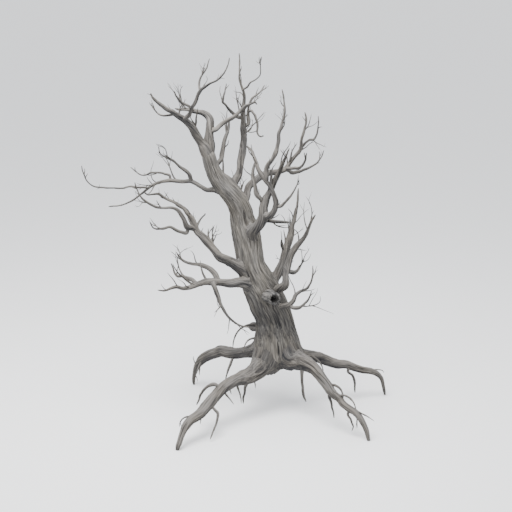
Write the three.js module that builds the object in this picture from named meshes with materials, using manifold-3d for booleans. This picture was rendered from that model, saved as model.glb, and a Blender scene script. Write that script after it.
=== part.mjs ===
// A bare, weathered dead tree that stands on its own arching roots.
//
// Every limb is one tapering solid. It leaves its parent at a numbered knee, takes a few runs from knee
// to knee, and thins from its base to its tip. Runs are [right, back, up] in millimetres, +Z is up, and
// the front of the tree faces -Y.

import * as THREE from "three";
import { mergeVertices } from "three/addons/utils/BufferGeometryUtils.js";
import Module from "manifold-3d";

// ---- driving dimensions (mm) ----

const TRUNK_FOOT = [30, 0, 900]; // the trunk's underside stands clear of the ground on its roots
const CLEARANCE = 0.45;          // added to a limb's radius where the next limb is cut to meet it
const RINGS_PER_RUN = 1.3;       // rings of facets between two knees
const THICK = 75;                // base radius from which a limb gets more sides
const SIDES = { trunk: 12, thick: 8, thin: 6 };
const FLUTES = { count: 5, depth: 0.05, turns: 0.9 }; // the trunk's twisted ridges
const SWELLING = 0.06;           // knots and swellings along a limb, as a share of its radius
const TIP_POINT = 0.6;           // how far a tip rounds out past its last ring, in tip radii
const HOLLOW = { radius: 88, depth: 170 }; // the rotted heart of the broken stub

// ---- colours ----

const WOOD = { colour: 0x8b8177, roughness: 0.92 };
const ROOT_WOOD = { colour: 0x958a7c, roughness: 0.92 };
const OLD_WOOD = { colour: 0x6b645e, roughness: 0.95 };

// ---- the limbs ----
// limb(name, parent, knee on the parent, radii from base to tip, ...runs)

const limbs = [];

function limb(name, parent, knee, radii, ...runs) {
  limbs.push({ name, parent, knee, radii, runs, wood: WOOD });
}

function root(name, parent, knee, radii, ...runs) {
  limbs.push({ name, parent, knee, radii, runs, wood: ROOT_WOOD });
}

function stub(name, parent, knee, radii, ...runs) {
  limbs.push({ name, parent, knee, radii, runs, wood: OLD_WOOD });
}

limb("trunk", null, 0, [230, 420, 390, 360, 355, 320, 265, 245, 260, 220, 190, 182, 170, 145, 133, 115],
  [-10, 0, 340], [-30, 20, 340], [-50, 10, 320], [-170, -30, 410], [-170, -20, 380],
  [-140, 20, 330], [-50, 50, 320], [-50, 30, 300], [-80, 20, 310], [-50, 0, 240],
  [-130, -20, 250], [-190, -40, 230], [-180, -40, 270], [-90, -20, 280], [-50, 20, 210]);

// Four main roots, arched like legs from the trunk's foot to the ground.
root("root_front_left", "trunk", 1, [230, 185, 140, 124, 120, 120, 102, 80, 60, 44, 38],
  [-430, -300, -240], [-240, -260, -110], [-250, -270, -40], [-240, -220, -50], [-190, -260, -140],
  [-150, -230, -150], [-230, -260, -50], [-130, -190, -90], [-60, -110, -180], [-30, -60, -190]);
root("root_front_right", "trunk", 1.1, [210, 160, 115, 102, 98, 81, 65, 58, 44, 30],
  [400, -360, -130], [230, -280, -90], [210, -240, -100], [180, -180, -120], [160, -160, -150],
  [180, -180, -130], [180, -140, -120], [110, -100, -180], [70, -100, -250]);
root("root_back_left", "trunk", 1.2, [170, 133, 127, 118, 103, 86, 52, 20],
  [-530, 280, -200], [-290, 220, -110], [-340, 240, -110], [-280, 200, -130], [-220, 160, -170],
  [-110, 100, -180], [-30, 50, -410]);
root("root_back_right", "trunk", 1.1, [170, 124, 104, 93, 85, 75, 54, 41, 20],
  [540, 160, -180], [260, 90, -100], [300, 80, -80], [330, 90, -120], [320, 90, -170],
  [240, 60, -80], [180, 50, -160], [110, 40, -380]);

// Rootlets that hang from the main roots.
root("rootlet_front_left_1", "root_front_left", 1.9, [46, 30, 22, 8],
  [0, -20, -210], [-60, -10, -200], [-10, 0, -190]);
root("rootlet_front_left_2", "root_front_left", 3.8, [42, 31, 28, 22, 9],
  [-210, 0, 60], [-140, 0, -90], [-100, 0, -150], [-70, 0, -190]);
root("rootlet_front_left_3", "root_front_left", 4.5, [44, 30, 23, 16, 8],
  [40, -200, -220], [10, -140, -170], [-70, -160, -170], [-60, -120, -120]);
root("rootlet_back_left", "root_back_left", 1.7, [40, 30, 23, 9],
  [-190, -10, -160], [-100, -10, -180], [-70, -10, -240]);
root("rootlet_front_right_1", "root_front_right", 1.3, [48, 35, 27, 9],
  [-10, -40, -310], [20, -10, -260], [70, 0, -240]);
root("rootlet_front_right_2", "root_front_right", 3.8, [40, 26, 20, 8],
  [0, -70, -220], [70, -10, -230], [30, 0, -200]);
root("rootlet_front_right_3", "root_front_right", 6, [36, 21, 17, 6],
  [-30, -100, -130], [110, -20, -190], [-30, 0, -130]);
root("rootlet_back_right", "root_back_right", 3.3, [42, 28, 25, 21, 9],
  [210, 0, -190], [150, 0, -150], [50, 0, -190], [10, 0, -180]);

// Two broken stubs on the trunk.
stub("hollow_stub", "trunk", 4.5, [165, 145, 135], [160, -340, 20], [80, -270, 0]);
stub("knob", "trunk", 2.5, [128, 116, 80], [-390, 300, -90], [-110, 130, -70]);

// Boughs on the left.
limb("left_bough", "trunk", 5.4, [150, 111, 93, 87, 80, 69, 58, 50, 38, 26, 20, 18, 15, 11, 6],
  [-320, -170, 240], [-200, -40, 150], [-170, 0, 80], [-180, 50, 190], [-160, 50, 170],
  [-140, 50, 120], [-50, 70, 160], [-120, 80, 150], [-110, 70, 120], [-130, 50, 60],
  [-180, 50, 70], [-190, 50, 100], [-150, 50, -50], [-140, 50, 80]);
limb("left_bough_middle", "left_bough", 6, [54, 47, 43, 33, 23, 19, 16, 12, 9, 5],
  [-190, -110, 120], [-40, -40, 160], [-100, -50, 160], [-160, -50, 70], [-230, -80, 20],
  [-180, -100, 120], [-130, -100, 150], [-80, -100, 210], [-10, -20, 90]);
limb("left_bough_low", "left_bough", 6, [46, 30, 27, 22, 12, 5],
  [-230, -130, -10], [-150, -100, 70], [-150, -60, 90], [-230, -90, -30], [-110, -50, 150]);
limb("upper_left_bough", "trunk", 11.5, [74, 50, 46, 40, 32, 30, 28, 22, 16, 12, 5],
  [-310, -10, -10], [-180, 50, 40], [-220, 100, 110], [-200, 60, 0], [-220, 60, 0],
  [-210, 60, -30], [-230, 70, -120], [-230, 50, -200], [-230, 50, -150], [-410, 50, -90]);
limb("upper_left_long", "upper_left_bough", 7, [20, 18, 15, 12, 10, 8, 5],
  [-150, -100, 0], [-210, -100, 60], [-210, -100, -20], [-260, -150, 40], [-260, -100, 60],
  [-140, -50, 180], [-40, -50, 230]);
limb("upper_left_fork", "upper_left_bough", 4.8, [29, 21, 18, 15, 12, 9, 5],
  [-110, 90, 100], [-170, 100, 10], [-210, 100, -10], [-140, 50, -60], [-130, 50, 40],
  [-140, 50, 110]);
limb("upper_left_rise", "upper_left_bough", 3.1, [38, 32, 26, 20, 12, 5],
  [-60, -50, 190], [-150, -50, 130], [-150, -50, 140], [-210, -50, 110], [-50, -50, 180]);
limb("low_left_bough", "trunk", 4.9, [112, 88, 75, 69, 60, 39, 31, 21, 14, 5],
  [-380, -310, 100], [-290, -140, 50], [-260, -50, 20], [-170, 0, 0], [-220, -80, -70],
  [-170, -60, -10], [-170, -60, 60], [-140, -40, -50], [-170, -40, 0]);
limb("low_left_upper", "low_left_bough", 4, [46, 34, 30, 23, 14, 5],
  [-260, 50, 50], [-120, 50, 50], [-140, 60, 0], [-50, 50, 90], [-70, 50, 130]);
limb("low_left_rise", "low_left_bough", 2.4, [60, 48, 42, 35, 26, 16, 5],
  [-110, 190, 140], [-130, 100, 100], [-170, 100, 20], [-200, 100, -10], [-170, 100, 60],
  [-100, 50, 140]);
limb("low_left_hanging", "low_left_bough", 3, [52, 46, 38, 30, 22, 18, 15, 8],
  [50, -200, 20], [60, -80, -140], [80, -50, -200], [70, 0, -190], [130, 50, -160],
  [170, 80, -140], [170, 100, -80]);

// The top: two forks of the trunk, and what rises from them.
limb("top_left", "trunk", 14.6, [92, 76, 70, 58, 42, 30, 16, 6],
  [-150, -50, 270], [-110, -60, 190], [-180, -80, 180], [-180, -100, 160], [-180, -80, 110],
  [-180, -70, 150], [-60, -50, 140]);
limb("top_left_low", "top_left", 3.8, [28, 20, 15, 11, 5],
  [-120, 60, -20], [-140, 80, -20], [-160, 90, 70], [-70, 50, 140]);
limb("top_rise", "top_left", 3.1, [43, 37, 34, 32, 28, 21, 15, 11, 7, 4],
  [110, -150, 100], [70, -90, 140], [80, -50, 160], [70, -40, 160], [90, -80, 100],
  [130, -80, 100], [190, -100, 110], [120, -80, 140], [60, -70, 240]);
limb("top_rise_inner", "top_rise", 4, [23, 16, 13, 9, 4],
  [10, 80, 180], [40, 60, 120], [80, 50, 130], [70, 50, 180]);
limb("top_rise_left", "top_rise", 2.1, [30, 24, 15, 5],
  [-150, -140, 110], [-100, -100, 110], [-50, -100, 140]);
limb("top_right", "trunk", 14.5, [102, 84, 68, 62, 51, 39, 28, 16, 6],
  [30, 60, 250], [30, 50, 210], [-30, 100, 160], [-90, 80, 90], [-140, 80, 30],
  [-180, 120, 30], [-150, 100, -10], [-140, 80, 10]);
limb("top_bridge", "top_right", 1.6, [47, 42, 37, 33, 29, 24, 20, 16, 12, 7],
  [130, 20, 80], [110, 50, 100], [140, 50, 70], [120, 20, 70], [100, 30, 90],
  [90, 50, 90], [100, 30, 30], [70, 30, 30], [50, 20, -50]);

// Shoots from the upper trunk.
limb("inner_left", "trunk", 12.7, [60, 46, 42, 33, 26, 12],
  [70, 140, 190], [50, 170, 230], [50, 130, 200], [70, 120, 220], [10, 130, 180]);
limb("inner_tall", "trunk", 11, [92, 74, 63, 62, 59, 54, 45, 34, 22, 15, 10, 7, 4],
  [70, 120, 240], [60, 100, 220], [30, 120, 200], [40, 100, 260], [20, 30, 260], [0, 10, 260],
  [-10, -20, 260], [10, -40, 220], [-50, 0, 210], [-40, 20, 180], [0, 30, 200], [0, 50, 240]);
limb("inner_tall_right", "inner_tall", 8, [20, 15, 11, 8, 6, 4],
  [90, -100, 240], [120, -70, 90], [120, -50, 130], [-10, -30, 160], [30, -30, 180]);
limb("inner_tall_left", "inner_tall", 5.4, [44, 36, 31, 26, 20, 16, 11, 4],
  [-70, -50, 180], [-110, -40, 90], [-90, -40, 90], [-90, -60, 120], [-70, -30, 70],
  [30, 0, 120], [60, 20, 230]);
limb("inner_right", "inner_tall", 5.1, [37, 28, 24, 20, 16, 11, 4],
  [90, 90, 180], [-10, 40, 210], [30, 0, 180], [80, 40, 110], [110, 60, 60], [110, 120, 140]);
limb("inner_droop", "inner_right", 2.2, [22, 20, 18, 16, 13, 9, 6],
  [70, -80, -30], [70, -100, -100], [40, -70, -180], [10, -30, -140], [60, -20, -50],
  [50, -20, 30]);

// Boughs on the right.
limb("back_bough", "trunk", 10, [86, 72, 68, 62, 54, 50, 47, 42, 35, 23, 18, 11, 5],
  [140, 260, 170], [40, 140, 150], [160, 120, 160], [190, 60, 100], [200, 40, 20], [190, 50, 60],
  [100, 50, 140], [170, 80, 210], [50, 20, 220], [80, 40, 260], [30, 40, 140], [-30, 20, 150]);
limb("back_bough_outer", "back_bough", 8, [27, 22, 20, 17, 11, 4],
  [120, 100, 110], [100, 50, 80], [100, 30, 10], [80, 40, 190], [10, 40, 280]);
limb("back_bough_level", "back_bough", 6, [36, 27, 24, 19, 5],
  [120, -130, 40], [150, -100, 20], [90, -60, 110], [60, -60, 220]);
limb("back_bough_low", "back_bough", 5.9, [41, 31, 22, 16, 11, 4],
  [200, 70, -80], [190, 40, 50], [160, 40, 60], [160, 40, 120], [100, 40, 200]);
limb("right_bough", "trunk", 7.7, [120, 96, 86, 70, 59, 50, 43, 34, 18, 6],
  [190, -310, 290], [120, -100, 230], [10, 0, 260], [60, 60, 170], [100, 60, 140],
  [100, -20, 210], [90, -80, 210], [80, -80, 230], [70, -100, 200]);
limb("right_bough_front", "right_bough", 2.1, [66, 58, 50, 43, 40, 35, 25, 18, 10],
  [150, -160, 110], [100, -80, 160], [-30, -20, 220], [-100, 20, 230], [-180, 80, 230],
  [-90, 140, 210], [-80, 260, 120], [-80, 220, 50]);
limb("right_bough_inner", "right_bough", 3, [43, 35, 31, 28, 18, 8],
  [-130, -40, 270], [-40, 50, 170], [-40, 60, 140], [30, 70, 170], [20, 50, 80]);
limb("right_bough_side", "right_bough_front", 1.8, [35, 26, 20, 13, 4],
  [130, -60, 80], [140, -60, 170], [80, -20, 100], [100, -60, 250]);
limb("tall_right", "right_bough_front", 4.05, [44, 42, 40, 37, 32, 25, 17, 10, 4],
  [-50, -40, 170], [30, 0, 170], [100, 40, 140], [80, 50, 200], [40, 30, 260],
  [90, 50, 420], [-10, 30, 240], [-30, 20, 180]);
limb("cross_bough", "trunk", 8.4, [52, 45, 39, 30, 14],
  [230, 290, 80], [200, 170, -30], [230, 100, -40], [250, 130, -40]);
limb("low_right_bough", "trunk", 4.2, [132, 104, 81, 70, 65, 57, 43, 30, 18, 5],
  [170, 80, 330], [170, 120, 250], [80, 100, 260], [40, 60, 140], [70, 60, 230],
  [20, 20, 140], [60, 20, 190], [40, 40, 230], [30, 50, 340]);
limb("low_right_front", "trunk", 3.8, [112, 80, 68, 66, 62, 46, 30, 20, 7],
  [300, -350, 400], [30, 50, 250], [60, 100, 240], [90, 80, 220], [130, 20, 180],
  [140, -50, 190], [90, -50, 230], [80, -50, 190]);
limb("low_right_spur", "low_right_front", 1.9, [52, 46, 29, 20, 9],
  [140, 100, 80], [110, 80, 20], [70, 60, 80], [70, 60, 110]);
limb("low_right_twist", "trunk", 3.6, [66, 43, 38, 32, 24, 18, 12, 5],
  [340, -410, 180], [100, -20, 100], [90, 40, 140], [120, 20, 50], [100, 20, 50],
  [70, 20, 170], [20, 20, 270]);
limb("low_right_curl", "low_right_twist", 1, [38, 35, 28, 17, 5],
  [140, -80, -30], [150, -40, 60], [120, -10, 120], [60, -10, 180]);

// Boughs on the far side.
limb("rear_bough", "trunk", 6.5, [110, 86, 70, 52, 32, 7],
  [-80, 580, 330], [-130, 500, 450], [-240, 400, 350], [-280, 300, 300], [-170, 200, 310]);
limb("rear_left_bough", "trunk", 5.5, [85, 68, 56, 44, 32, 20, 6],
  [-340, 410, 10], [-270, 400, 70], [-260, 350, 140], [-220, 300, 180], [-180, 250, 130],
  [-160, 200, 200]);
limb("rear_right_bough", "trunk", 4.6, [80, 64, 52, 42, 30, 20, 5],
  [320, 510, 70], [140, 400, 190], [80, 350, 180], [70, 300, 240], [50, 200, 230],
  [80, 150, 340]);
limb("rear_top_bough", "inner_tall", 2, [50, 42, 34, 24, 6],
  [20, 600, 150], [50, 300, 230], [20, 250, 290], [-20, 150, 350]);

// ---- curves ----

const curves = new Map();
const mainRoots = limbs.filter(({ name }) => name.startsWith("root_")).map(({ name }) => name);

// The smooth line through a limb's knees, from its place on its parent's line.
function growCurve({ name, parent, knee, runs }) {
  const start = new THREE.Vector3(...TRUNK_FOOT);
  if (parent) {
    const line = curves.get(parent);
    line.getPoint(knee / (line.points.length - 1), start);
  }
  const knees = [start];
  for (const run of runs) {
    knees.push(knees.at(-1).clone().add(new THREE.Vector3(...run)));
  }
  if (mainRoots.includes(name)) {
    knees.at(-1).z = 0; // a main root's foot is cut level with the ground
  }
  return new THREE.CatmullRomCurve3(knees, false, "centripetal");
}

// Radius at a share t of a limb, from its list of radii, with slight swellings on the way.
function radiusAt({ radii }, t) {
  const place = t * (radii.length - 1);
  const step = Math.min(Math.floor(place), radii.length - 2);
  const plain = THREE.MathUtils.lerp(radii[step], radii[step + 1], place - step);
  const envelope = Math.sin(Math.PI * t);
  return plain * (1 + SWELLING * envelope * Math.sin(9 * t + radii.length + radii[0]));
}

// ---- solids ----

// A closed tube round a limb's line. Its rings turn with the line, a tip ends in a blunt point, and a
// main root ends in a level face.
function tubeGeometry(spec, extra) {
  const line = curves.get(spec.name);
  const isTrunk = spec.name === "trunk";
  const isFoot = mainRoots.includes(spec.name);
  const thick = spec.radii[0] >= THICK ? SIDES.thick : SIDES.thin;
  const sides = isTrunk ? SIDES.trunk : thick;
  const steps = Math.ceil(spec.runs.length * RINGS_PER_RUN);
  const points = [];
  const faces = [];
  const centres = [];
  const tangents = [];
  for (let i = 0; i <= steps; i++) {
    centres.push(line.getPoint(i / steps));
    tangents.push(line.getTangent(i / steps));
  }
  if (isFoot) {
    tangents[steps].set(0, 0, -1);
  }
  const across = new THREE.Vector3(0, 1, 0).cross(tangents[0]).normalize();
  for (let i = 0; i <= steps; i++) {
    const tangent = tangents[i];
    across.addScaledVector(tangent, -across.dot(tangent)).normalize();
    const beside = tangent.clone().cross(across);
    const t = i / steps;
    for (let k = 0; k < sides; k++) {
      const angle = (2 * Math.PI * k) / sides;
      const ridge = isTrunk ? FLUTES.depth * Math.cos(FLUTES.count * (angle + FLUTES.turns * t)) : 0;
      const radius = radiusAt(spec, t) * (1 + ridge) + extra;
      const rim = centres[i].clone().addScaledVector(across, radius * Math.cos(angle));
      points.push(rim.addScaledVector(beside, radius * Math.sin(angle)));
    }
  }
  for (let i = 0; i < steps; i++) {
    for (let k = 0; k < sides; k++) {
      const next = (k + 1) % sides;
      const a = i * sides + k;
      const b = i * sides + next;
      faces.push(a, b, a + sides, b, b + sides, a + sides);
    }
  }
  const ends = [
    { ring: 0, out: -1, point: isTrunk ? TIP_POINT / 2 : 0 },
    { ring: steps, out: 1, point: isFoot ? 0 : TIP_POINT },
  ];
  for (const { ring, out, point } of ends) {
    const reach = out * point * (radiusAt(spec, ring / steps) + extra);
    const pole = points.push(centres[ring].clone().addScaledVector(tangents[ring], reach)) - 1;
    for (let k = 0; k < sides; k++) {
      const a = ring * sides + k;
      const b = ring * sides + ((k + 1) % sides);
      faces.push(...(out > 0 ? [a, b, pole] : [b, a, pole]));
    }
  }
  const geometry = new THREE.BufferGeometry().setFromPoints(points);
  geometry.setIndex(faces);
  return geometry;
}

const wasm = await Module();
wasm.setup();

function toSolid(geometry) {
  const merged = mergeVertices(geometry);
  return new wasm.Manifold(new wasm.Mesh({
    numProp: 3,
    vertProperties: new Float32Array(merged.getAttribute("position").array),
    triVerts: new Uint32Array(merged.getIndex().array),
  }));
}

function toGeometry(solid) {
  const mesh = solid.getMesh();
  const geometry = new THREE.BufferGeometry();
  geometry.setAttribute("position", new THREE.BufferAttribute(mesh.vertProperties, mesh.numProp));
  geometry.setIndex(new THREE.BufferAttribute(mesh.triVerts, 1));
  return geometry;
}

function boxesMeet(one, other) {
  return [0, 1, 2].every((i) => one.min[i] < other.max[i] && other.min[i] < one.max[i]);
}

function largestBody(solid) {
  return solid.decompose().reduce((best, body) => (body.volume() > best.volume() ? body : best));
}

// The rotted heart of the broken stub: an egg sunk into its end.
function hollowGeometry(line) {
  const egg = new THREE.SphereGeometry(HOLLOW.radius, 10, 6);
  egg.deleteAttribute("normal");
  egg.deleteAttribute("uv");
  egg.scale(1, HOLLOW.depth / HOLLOW.radius, 1);
  const up = new THREE.Vector3(0, 1, 0);
  egg.applyQuaternion(new THREE.Quaternion().setFromUnitVectors(up, line.getTangent(1)));
  return egg.translate(...line.getPoint(1));
}

// A limb's tube, less the wider tubes of all the limbs before it that it meets.
function fitLimb(spec, earlier) {
  let solid = toSolid(tubeGeometry(spec, 0));
  if (spec.name === "hollow_stub") {
    solid = solid.subtract(toSolid(hollowGeometry(curves.get(spec.name))));
  }
  for (const taken of earlier) {
    if (boxesMeet(solid.boundingBox(), taken.boundingBox())) {
      solid = solid.subtract(taken);
    }
  }
  return largestBody(solid);
}

// ---- the tree ----

const tree = new THREE.Group();
const earlier = [];
for (const spec of limbs) {
  curves.set(spec.name, growCurve(spec));
  const solid = fitLimb(spec, earlier);
  earlier.push(toSolid(tubeGeometry(spec, CLEARANCE)));
  const { colour, roughness } = spec.wood;
  const material = new THREE.MeshStandardMaterial({ color: colour, roughness, metalness: 0 });
  const mesh = new THREE.Mesh(toGeometry(solid), material);
  mesh.name = spec.name;
  tree.add(mesh);
}

// The origin is the level foot of the largest root.
const foot = curves.get("root_front_left").points.at(-1);
tree.position.set(-foot.x, -foot.y, 0);

export default tree;
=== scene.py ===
# %% [markdown]
# # A bare, weathered dead tree
# The tree stands on its own arching roots. Its solids are already worked out: each limb is one tapering,
# faceted tube. This lesson gives every limb the surface that a century of weather leaves: twisted grain,
# long drying cracks, swellings, knots and broken stubs. Then it grows the twigs and rootlets that the
# solids are too coarse to hold.

# %% Load the solids
import math
import bpy
import numpy as np
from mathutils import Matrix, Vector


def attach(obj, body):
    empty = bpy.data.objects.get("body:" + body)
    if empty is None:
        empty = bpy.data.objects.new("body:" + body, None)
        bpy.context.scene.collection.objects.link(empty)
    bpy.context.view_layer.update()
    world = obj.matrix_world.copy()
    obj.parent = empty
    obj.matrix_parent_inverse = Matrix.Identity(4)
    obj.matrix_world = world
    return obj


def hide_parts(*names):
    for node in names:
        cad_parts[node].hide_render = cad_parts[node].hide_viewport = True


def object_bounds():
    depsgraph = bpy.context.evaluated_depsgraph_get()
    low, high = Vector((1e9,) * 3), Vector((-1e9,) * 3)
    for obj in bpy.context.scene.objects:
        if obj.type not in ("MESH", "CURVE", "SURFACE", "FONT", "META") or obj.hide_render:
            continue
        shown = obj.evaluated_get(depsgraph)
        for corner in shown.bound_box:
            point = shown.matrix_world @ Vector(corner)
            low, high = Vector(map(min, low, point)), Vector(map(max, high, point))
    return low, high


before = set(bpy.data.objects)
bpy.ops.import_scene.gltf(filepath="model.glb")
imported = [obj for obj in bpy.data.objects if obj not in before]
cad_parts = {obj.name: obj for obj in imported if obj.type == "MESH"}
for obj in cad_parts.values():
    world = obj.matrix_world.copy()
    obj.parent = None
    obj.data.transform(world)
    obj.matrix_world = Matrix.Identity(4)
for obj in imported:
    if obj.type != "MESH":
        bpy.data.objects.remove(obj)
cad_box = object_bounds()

SEED = 417
ROOT_NAMES = [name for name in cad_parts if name.startswith("root")]
MAIN_ROOTS = [name for name in ROOT_NAMES if name.startswith("root_")]
STUBS = ["hollow_stub", "knob"]
UP = np.array([0.0, 0.0, 1.0])
LIMBS = [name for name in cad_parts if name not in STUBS]
print(len(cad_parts), "solids,", len(MAIN_ROOTS), "main roots")

# %% [markdown]
# ## Finding each limb's line
# A solid limb is a row of rings that was cut where it meets its parent. Counting steps along the edges from
# the tip visits one ring after another, so the rings can be read back without knowing how they were drawn.
# The middle of each ring is a point of the limb's line, and the widest distance from it is the radius.

# %% Rings of a solid limb
def merged_mesh(node):
    """The node's corners and triangles, with corners in the same place (to 0.01 mm) made one."""
    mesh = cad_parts[node].data
    corners = np.empty(len(mesh.vertices) * 3)
    mesh.vertices.foreach_get("co", corners)
    mesh.calc_loop_triangles()
    triangles = np.empty(len(mesh.loop_triangles) * 3, dtype=np.int64)
    mesh.loop_triangles.foreach_get("vertices", triangles)
    points, index = np.unique(np.round(corners.reshape(-1, 3), 5), axis=0, return_inverse=True)
    return points, index.ravel()[triangles].reshape(-1, 3)


def edge_pairs(triangles):
    """Every edge of the triangles, once in each direction, as rows of two corner numbers."""
    sides = np.concatenate([triangles[:, [0, 1]], triangles[:, [1, 2]], triangles[:, [2, 0]]])
    return np.unique(np.concatenate([sides, sides[:, ::-1]]), axis=0)


def steps_from(seeds, edges, count):
    """For each corner, the fewest edges between it and the seeds."""
    steps = np.full(count, -1)
    steps[seeds] = 0
    level = 0
    while True:
        reached = edges[(steps[edges[:, 0]] == level) & (steps[edges[:, 1]] < 0), 1]
        if len(reached) == 0:
            return steps
        level += 1
        steps[reached] = level


def whole_rings(steps, sides):
    """How many levels in a row, from the first, hold exactly one corner for each side."""
    counts = np.bincount(steps)[1:]
    return int(np.argmax(np.append(counts, 0) != sides))


SIDE_COUNTS = (6, 8, 12)    # a thin limb, a thick limb and the trunk
ON_GROUND = 1e-4            # metres


def tip_corners(points, edges):
    """The corners at the thin end: a foot on the ground, or the pole from which most whole rings follow."""
    on_ground = np.flatnonzero(points[:, 2] < ON_GROUND)
    if len(on_ground):
        return on_ground, len(on_ground) - 1
    neighbours = np.bincount(edges[:, 0], minlength=len(points))
    poles = np.flatnonzero(np.isin(neighbours, SIDE_COUNTS))
    scores = [whole_rings(steps_from([pole], edges, len(points)), neighbours[pole]) for pole in poles]
    pole = poles[int(np.argmax(scores))]
    return [pole], neighbours[pole]


def read_rings(node):
    """Middles and radii of a limb's whole rings, from its base to its tip."""
    points, triangles = merged_mesh(node)
    edges = edge_pairs(triangles)
    seeds, sides = tip_corners(points, edges)
    steps = steps_from(seeds, edges, len(points))
    first = 0 if len(seeds) > 1 else 1
    middles, radii = [], []
    for level in range(first, whole_rings(steps, sides) + 1):
        ring = points[steps == level]
        middle = ring.mean(axis=0)
        middles.append(middle)
        radii.append(np.linalg.norm(ring - middle, axis=1)[:sides].max())
    if node == "trunk" and middles[0][2] < middles[-1][2]:
        return np.array(middles), np.array(radii)
    return np.array(middles)[::-1], np.array(radii)[::-1]


rings = {name: read_rings(name) for name in LIMBS}
print("rings read:", sum(len(radii) for _, radii in rings.values()))
print("shortest:", min((len(radii), name) for name, (_, radii) in rings.items()))

# %% [markdown]
# ## Smooth lines
# A limb grows smoothly from knee to knee, so a cubic curve is laid through the ring middles. Each limb's line
# is also carried back into the limb that it grows from, so that its first rings are buried in the wood there.

# %% A smooth curve through measured points
def through(knots, count):
    """Points of a cubic Hermite curve through the knots, evenly spaced along it. The first three columns
    are places, and a knot's slope is the average slope to its neighbours on each side."""
    chord = np.linalg.norm(np.diff(knots[:, :3], axis=0), axis=1)
    at = np.concatenate([[0.0], np.cumsum(chord)])
    slope = np.gradient(knots, at, axis=0)
    where = np.linspace(0.0, at[-1], count)
    i = np.clip(np.searchsorted(at, where, side="right") - 1, 0, len(at) - 2)
    h = (at[i + 1] - at[i])[:, None]
    t = ((where - at[i]) / h[:, 0])[:, None]
    return ((2 * t**3 - 3 * t**2 + 1) * knots[i] + (t**3 - 2 * t**2 + t) * h * slope[i]
            + (3 * t**2 - 2 * t**3) * knots[i + 1] + (t**3 - t**2) * h * slope[i + 1])


def unit(vectors):
    """Each vector divided by its length."""
    return vectors / np.maximum(np.linalg.norm(vectors, axis=-1, keepdims=True), 1e-12)


def length_of(line):
    """The sum of the distances between a line's points."""
    return np.linalg.norm(np.diff(line[:, :3], axis=0), axis=1).sum()


# %% Which limb each limb grows from
def find_parent(name):
    """The limb whose surface is nearest to this limb's first ring, and the nearest point on its line. A
    parent is never much thinner than its child."""
    base, own = rings[name][0][0], rings[name][1][0]
    best = (np.inf, None, None)
    for other, (middles, radii) in rings.items():
        if other == name or radii.max() < 0.8 * own:
            continue
        fine = through(np.column_stack([middles, radii]), 200)
        clear = np.linalg.norm(fine[:, :3] - base, axis=1) - fine[:, 3]
        clear[fine[:, 3] < 0.6 * own] = np.inf
        nearest = int(np.argmin(clear))
        if clear[nearest] < best[0]:
            best = (clear[nearest], other, fine[nearest])
    return best[1], best[2]


print("low_right_curl grows from", find_parent("low_right_curl")[0])

# %% [markdown]
# ## Parting at a slant
# A branch doesn't leave its parent squarely: the two run side by side for a while inside the same wood. Here
# the slant says how far back along its parent a limb's line starts, in radii of the limb. The boughs that
# part most gently have a slant of their own.

# %% Lines that start inside the parent
LINE_POINTS = 400
ROOT_SLANT, USUAL_SLANT = 3.4, 1.5
SLANTS = {"low_right_front": 4.5, "low_right_bough": 5.0, "right_bough": 6.0, "left_bough": 7.0,
          "low_left_bough": 5.0, "upper_left_bough": 8.0, "top_left": 4.0, "top_right": 4.0}
SWELLING = {"top_left": 1.3, "top_right": 1.35, "upper_left_bough": 1.3}   # how much wider a limb starts
BURIED = {"root": (0.45, 0.7), "bough": (0.1, 0.75)}   # the first knot: its way out of the parent, its size
PARTING = 0.7           # the second knot's place, from the parent's line (0) to the first ring (1)
PARTING_SLANT = 0.16    # how much of the slant the second knot has


def merge_with_parent(name):
    """Two knots inside the parent: one near the place where the limb leaves, and one further back along the
    parent's grain, so that the limb parts from its parent at a slant. Roots part from the trunk downwards."""
    middles, radii = rings[name]
    parents[name], joint = find_parent(name)
    parent_middles = rings[parents[name]][0]
    nearest = int(np.argmin(np.linalg.norm(parent_middles - joint[:3], axis=1)))
    i = min(max(nearest, 1), len(parent_middles) - 2)
    along_parent = unit(parent_middles[i + 1] - parent_middles[i - 1])
    is_root = name in MAIN_ROOTS
    heading = 1.0 if is_root else -1.0
    outward = unit(middles[0] - joint[:3])
    slant = ROOT_SLANT if is_root else SLANTS.get(name, USUAL_SLANT)
    near = (1 - PARTING) * joint[:3] + PARTING * middles[0]
    near = near + PARTING_SLANT * slant * heading * radii[0] * along_parent
    room = max(0.0, joint[3] - 0.7 * radii[0])
    depth, start = BURIED["root" if is_root else "bough"]
    deep = joint[:3] + slant * heading * radii[0] * along_parent + depth * room * outward
    swell = SWELLING.get(name, 1.0)
    return [[*deep, start * swell * radii[0]], [*near, swell * radii[0]]]


# %% Crooked growth
WAVES = (1.0, 0.47, 0.23)      # lengths of the waves, as shares of the longest
SMOOTHING = 31                 # points of the line that are averaged, so that no wave has a corner
STEADY_START, STEADY_END = 0.25, 0.15   # metres at each end over which the waves fade out


def crooked(line, amount, wavelength, seed):
    """The line with seeded sideways waves of several lengths. They fade out at both ends of the line."""
    length = length_of(line)
    at = np.linspace(0, length, len(line))
    rng = np.random.default_rng(seed)
    waves = np.zeros((len(line), 3))
    for shrink in WAVES:
        knots = max(4, int(length / (wavelength * shrink)) + 2)
        sway = rng.normal(0, 1, (knots, 3)) * shrink**0.8
        places = np.linspace(0, length, knots)
        waves += np.column_stack([np.interp(at, places, column) for column in sway.T])
    window = np.ones(SMOOTHING) / SMOOTHING
    waves = np.column_stack([np.convolve(np.pad(column, SMOOTHING // 2, mode="edge"), window, "valid")
                             for column in waves.T])
    fade = np.clip(at / STEADY_START, 0, 1) * np.clip((length - at) / STEADY_END, 0, 1)
    bent = line.copy()
    bent[:, :3] += (amount * fade)[:, None] * waves
    return bent


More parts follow.
